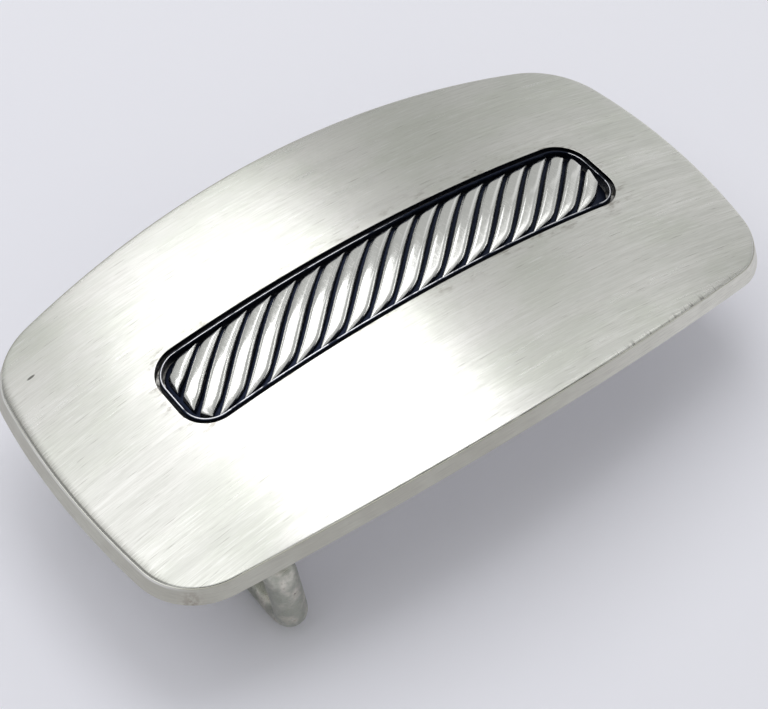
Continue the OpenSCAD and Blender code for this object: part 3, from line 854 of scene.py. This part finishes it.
def hook_pad():
    """The disc on the back, with a hole for the prong's foot."""
    low, high, hole = PAD_FACE, PAD_FACE + PAD_T - THIN, PRONG_R + 0.25
    ends = [(hole, low, 0.0), (PAD_R, low, 0.35), (PAD_R, high, 0.1), (hole, high, 0.0)]
    profile = subdivide(fillet(ends, 8), 0.6)
    verts, faces = placed(lathe(profile, TURNED_N), PAD_FRAME)
    return make("hook_pad_skin", verts, faces, dirt=np.zeros(len(verts)))


def hook_stud():
    """The prong, with a flared foot and a round tip."""
    t = np.linspace(0, math.pi / 2, 14)
    tip = [(PRONG_R * math.cos(a), PRONG_H + PRONG_R * math.sin(a)) for a in t]
    low = -PRONG_SET + GAP
    foot = [(foot_r(z), z) for z in np.linspace(low, FOOT_RISE, 12)]
    body = [(PRONG_R, z) for z in np.linspace(FOOT_RISE, PRONG_H, 24)[1:-1]]
    profile = [(0, low), (foot_r(low) - 0.05, low)] + foot + body + tip
    verts, faces = placed(solid_lathe(profile, PRONG_N), PRONG_FRAME)
    return make("hook_stud_skin", verts, faces, dirt=np.zeros(len(verts)))


# ---------------------------------------------------------------- pieces and their metals
satin_mat = satin("satin_silver")
rim_mat = rim_silver("rim_silver")
# the back's tarnish is partly painted shade for the dark under the plate
back_mat = polished("back_silver", 0.26, 0.38, 0.35, 0.06, 0.35)
# the wire's base is darkened as painted shade from under the plate
wire_mat = polished("wire_silver", 0.26, 0.46, 0.7, 0.14, 1.0, base=WIRE_GREY_SHADED, patch=0.6)
cable_mat = cable_silver("cable_silver")
bezel_mat = blackened("bezel_silver", worn_edge=True)
black_mat = blackened("blackened_silver")

PIECES = (
    (face_sheet, "face_sheet", "buckle", "satin_face", satin_mat),
    (rim_band, "rim_band", "buckle", "polished_rim", rim_mat),
    (back_plate, "back_plate", "buckle", "back_metal", back_mat),
    (slot_bezel, "slot_bezel", "buckle", "bright_cable", bezel_mat),
    (cable_bed, "cable_bed", "buckle", "blackened_bed", black_mat),
    (cable_strands, "cable_strands", "buckle", "bright_cable", cable_mat),
    (hinge_saddle, "hinge_saddle", "buckle", "back_metal", back_mat),
    (hinge_tube, "hinge_tube", "buckle", "back_metal", back_mat),
    (hook_pad, "hook_pad", "buckle", "back_metal", back_mat),
    (hook_stud, "hook_stud", "buckle", "wire", wire_mat),
    (bail, "bail", "bail", "wire", wire_mat),
)
for build, node, body, slot, material in PIECES:
    piece = build()
    piece.data.materials.append(material)
    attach(piece, body)
    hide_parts(node)


# ---------------------------------------------------------------- floor, light and camera
FLOOR_HALF = 0.9
LIGHT_DISTANCE = 0.6
# each light's name, direction, sizes in metres and radiance
LIGHTS = (
    ("key", (0.155, 0.36, 0.90), 0.29, 0.54, 1.95),
    ("overhead", (0.54, 0.02, 0.84), 0.42, 0.15, 0.85),
    ("left", (-0.45, 0.20, 0.85), 0.42, 0.6, 0.87),
    ("front", (-0.35, -0.75, 0.56), 0.60, 0.40, 0.15),
    ("right", (0.92, 0.42, 0.30), 0.40, 0.25, 0.25),
)
SKY, SKY_STRENGTH = rgb(0.97, 0.98, 0.95), 0.44
FLOOR_DIM, FLOOR_PALE = rgb(0.89, 0.89, 0.98), rgb(0.92, 0.92, 0.99)


def floor():
    """A plain pale floor under the buckle."""
    h = FLOOR_HALF
    mesh = bpy.data.meshes.new("floor")
    mesh.from_pydata([(-h, -h, 0), (h, -h, 0), (-h, h, 0), (h, h, 0)], [], quads(2, 2, False, False))
    obj = bpy.data.objects.new("floor", mesh)
    bpy.context.scene.collection.objects.link(obj)
    m = Metal("pale_floor")
    soft = m.noise(m.mapped((0.02, 0.02, 0.02)), 2.0, 0.5)
    m.set(color=m.mix(soft, FLOOR_DIM, FLOOR_PALE), rough=0.9, metal=0.0)
    mesh.materials.append(m.mat)


def area(name, direction, size_x, size_y, radiance):
    """A soft rectangular light that faces the buckle's middle. Its x side lies level."""
    data = bpy.data.lights.new(name, "AREA")
    data.shape = "RECTANGLE"
    data.size, data.size_y = size_x, size_y
    data.energy = radiance * math.pi * size_x * size_y
    obj = bpy.data.objects.new(name, data)
    bpy.context.scene.collection.objects.link(obj)
    d = Vector(direction).normalized()
    level = Vector((0, 1, 0)).cross(d).normalized()
    turn = Matrix((level, d.cross(level), d)).transposed().to_4x4()
    obj.matrix_world = Matrix.Translation(d * LIGHT_DISTANCE) @ turn


floor()
for light in LIGHTS:
    area(*light)

world = bpy.data.worlds.new("studio")
bpy.context.scene.world = world
world.use_nodes = True
world.node_tree.nodes["Background"].inputs["Color"].default_value = SKY
world.node_tree.nodes["Background"].inputs["Strength"].default_value = SKY_STRENGTH

bpy.context.scene.view_settings.view_transform = "Standard"

# the camera, fitted to the plate's outline in the photograph
CAM_AZ, CAM_EL, CAM_ROLL = math.radians(-39.301), math.radians(50.774), math.radians(2.693)
CAM_PLACE = Vector((-82.435, -100.128, 165.268)) * MM
CAM_LENS, CAM_SENSOR = 97.158, 36.0
back = Vector((math.sin(CAM_AZ) * math.cos(CAM_EL), -math.cos(CAM_AZ) * math.cos(CAM_EL), math.sin(CAM_EL)))
right = Vector((math.cos(CAM_AZ), math.sin(CAM_AZ), 0))
up = back.cross(right)
right, up = (
    right * math.cos(CAM_ROLL) + up * math.sin(CAM_ROLL),
    up * math.cos(CAM_ROLL) - right * math.sin(CAM_ROLL),
)
camera_data = bpy.data.cameras.new("camera")
camera_data.lens = CAM_LENS
camera_data.sensor_width = CAM_SENSOR
camera_data.clip_start = 0.01
camera = bpy.data.objects.new("camera", camera_data)
camera.matrix_world = Matrix.Translation(CAM_PLACE) @ Matrix((right, up, back)).transposed().to_4x4()
bpy.context.scene.collection.objects.link(camera)
bpy.context.scene.camera = camera

bpy.context.view_layer.update()
